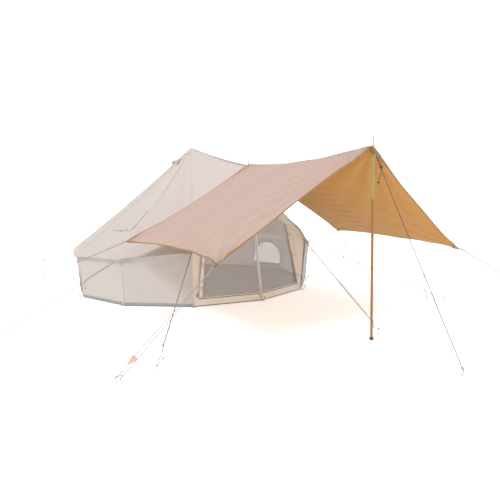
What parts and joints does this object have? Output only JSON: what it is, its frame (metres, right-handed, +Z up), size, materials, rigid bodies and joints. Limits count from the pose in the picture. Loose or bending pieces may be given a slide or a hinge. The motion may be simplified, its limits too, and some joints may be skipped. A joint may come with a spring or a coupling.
{
  "type": "bell tent",
  "caption": "Twelve-sided bell tent on a centre pole, with a mesh door in a framed gable and a two-tone awning held off the gable by one pole and guy ropes.",
  "frame": {"origin": "centre of the groundsheet's underside, on the ground", "axes": "+Z up, -Y towards the door and the awning, +X to the right of the door seen from in front"},
  "size_m": [7.4238, 9.5082, 2.385],
  "materials": {
    "canvas": "woven cotton canvas",
    "groundsheet": "coated sheet",
    "fireproof_patch": "coated glass cloth",
    "insect_mesh": "fine mesh",
    "zip_metal": "satin",
    "awning_cloth": "tightly woven, sheen on one side",
    "webbing": "webbing",
    "rope": "braided",
    "steel": "satin",
    "grey_plastic": "matt",
    "salmon_plastic": "matt",
    "rubber": "matt",
    "galvanised_steel": "galvanised",
    "olive_sleeve": "matt sleeve",
    "bronze_pole": "satin lacquer"
  },
  "bodies": {
    "tent": {"groundsheet": "groundsheet", "wall_canvas": "canvas", "window_meshes": "insect_mesh", "roof_canvas": "canvas", "chimney_patch": "fireproof_patch", "vent_hoods": "canvas", "door_surround_right": "canvas", "door_surround_left": "canvas", "door_roll_right": "canvas", "door_roll_left": "canvas", "centre_pole_lower": "galvanised_steel", "centre_pole_upper": "galvanised_steel", "centre_pole_sleeve": "galvanised_steel", "centre_pole_foot": "rubber", "centre_pole_cap": "rubber", "door_frame_legs": "galvanised_steel", "door_frame_rafters": "galvanised_steel", "door_frame_elbows": "galvanised_steel", "door_frame_bracket": "galvanised_steel", "door_frame_spike": "galvanised_steel", "awning_pole_lower": "bronze_pole", "awning_pole_upper": "bronze_pole", "awning_pole_grip": "olive_sleeve", "awning_pole_foot": "rubber", "awning_pole_spike": "bronze_pole", "awning_right": "awning_cloth", "awning_left": "awning_cloth", "awning_grommets": "steel", "guy_right_1": "rope", "guy_right_2": "rope", "guy_right_3": "rope", "guy_right_4": "rope", "guy_right_5": "rope", "guy_rear": "rope", "guy_left_5": "rope", "guy_left_4": "rope", "guy_left_3": "rope", "guy_left_2": "rope", "guy_left_1": "rope", "guy_door_corner": "rope", "guy_awning_back_left": "rope", "guy_awning_back_right": "rope", "guy_awning_front_right": "rope", "guy_awning_front_left": "rope", "guy_awning_pole": "rope", "guy_tabs": "webbing", "guy_rings": "steel", "guy_runners": "grey_plastic", "guy_pegs": "steel", "base_loops": "webbing", "base_pegs": "steel"},
    "door_leaf_right": {"door_mesh_right": "insect_mesh"},
    "door_leaf_left": {"door_mesh_left": "insect_mesh", "door_zip_strip": "canvas"},
    "zip_slider": {"door_zip_slider": "zip_metal"},
    "window_cover_right": {"window_cover_right": "canvas"},
    "window_cover_left": {"window_cover_left": "canvas"},
    "chimney_flap": {"chimney_flap": "canvas"},
    "runner_awning_pole": {"runner_awning_pole": "grey_plastic"},
    "runner_awning_front_left": {"runner_awning_front_left": "salmon_plastic"}
  },
  "joints": [
    {"name": "door_leaf_right_hinge", "type": "hinge", "parent": "tent", "child": "door_leaf_right", "pos_m": [0.907, -1.74057, 0.11], "axis": [0.1617, -0.0942, -0.9823], "range_deg": [0, 88]},
    {"name": "door_leaf_left_hinge", "type": "hinge", "parent": "tent", "child": "door_leaf_left", "pos_m": [-0.907, -1.74057, 0.11], "axis": [0.1617, 0.0942, 0.9823], "range_deg": [0, 88]},
    {"name": "door_zip_slide", "type": "slide", "parent": "door_leaf_left", "child": "zip_slider", "axis": [0, 0.1386, 0.9903], "range_m": [0, 1.4]},
    {"name": "window_cover_right_hinge", "type": "hinge", "parent": "tent", "child": "window_cover_right", "pos_m": [1.91944, 0.3849, 0.14322], "axis": [0.2588, -0.9659, 0], "range_deg": [0, 150]},
    {"name": "window_cover_left_hinge", "type": "hinge", "parent": "tent", "child": "window_cover_left", "pos_m": [-1.91944, 0.3849, 0.14322], "axis": [0.2588, 0.9659, 0], "range_deg": [0, 150]},
    {"name": "chimney_flap_hinge", "type": "hinge", "parent": "tent", "child": "chimney_flap", "pos_m": [-1.15117, -0.31662, 1.34843], "axis": [-0.2587, 0.9656, -0.0275], "range_deg": [0, 160]},
    {"name": "runner_awning_pole_slide", "type": "slide", "parent": "tent", "child": "runner_awning_pole", "axis": [0.0906, 0.5202, 0.8492], "range_m": [0, 0.08]},
    {"name": "runner_awning_front_left_slide", "type": "slide", "parent": "tent", "child": "runner_awning_front_left", "axis": [0.7222, -0.0763, 0.6875], "range_m": [0, 0.15]}
  ]
}
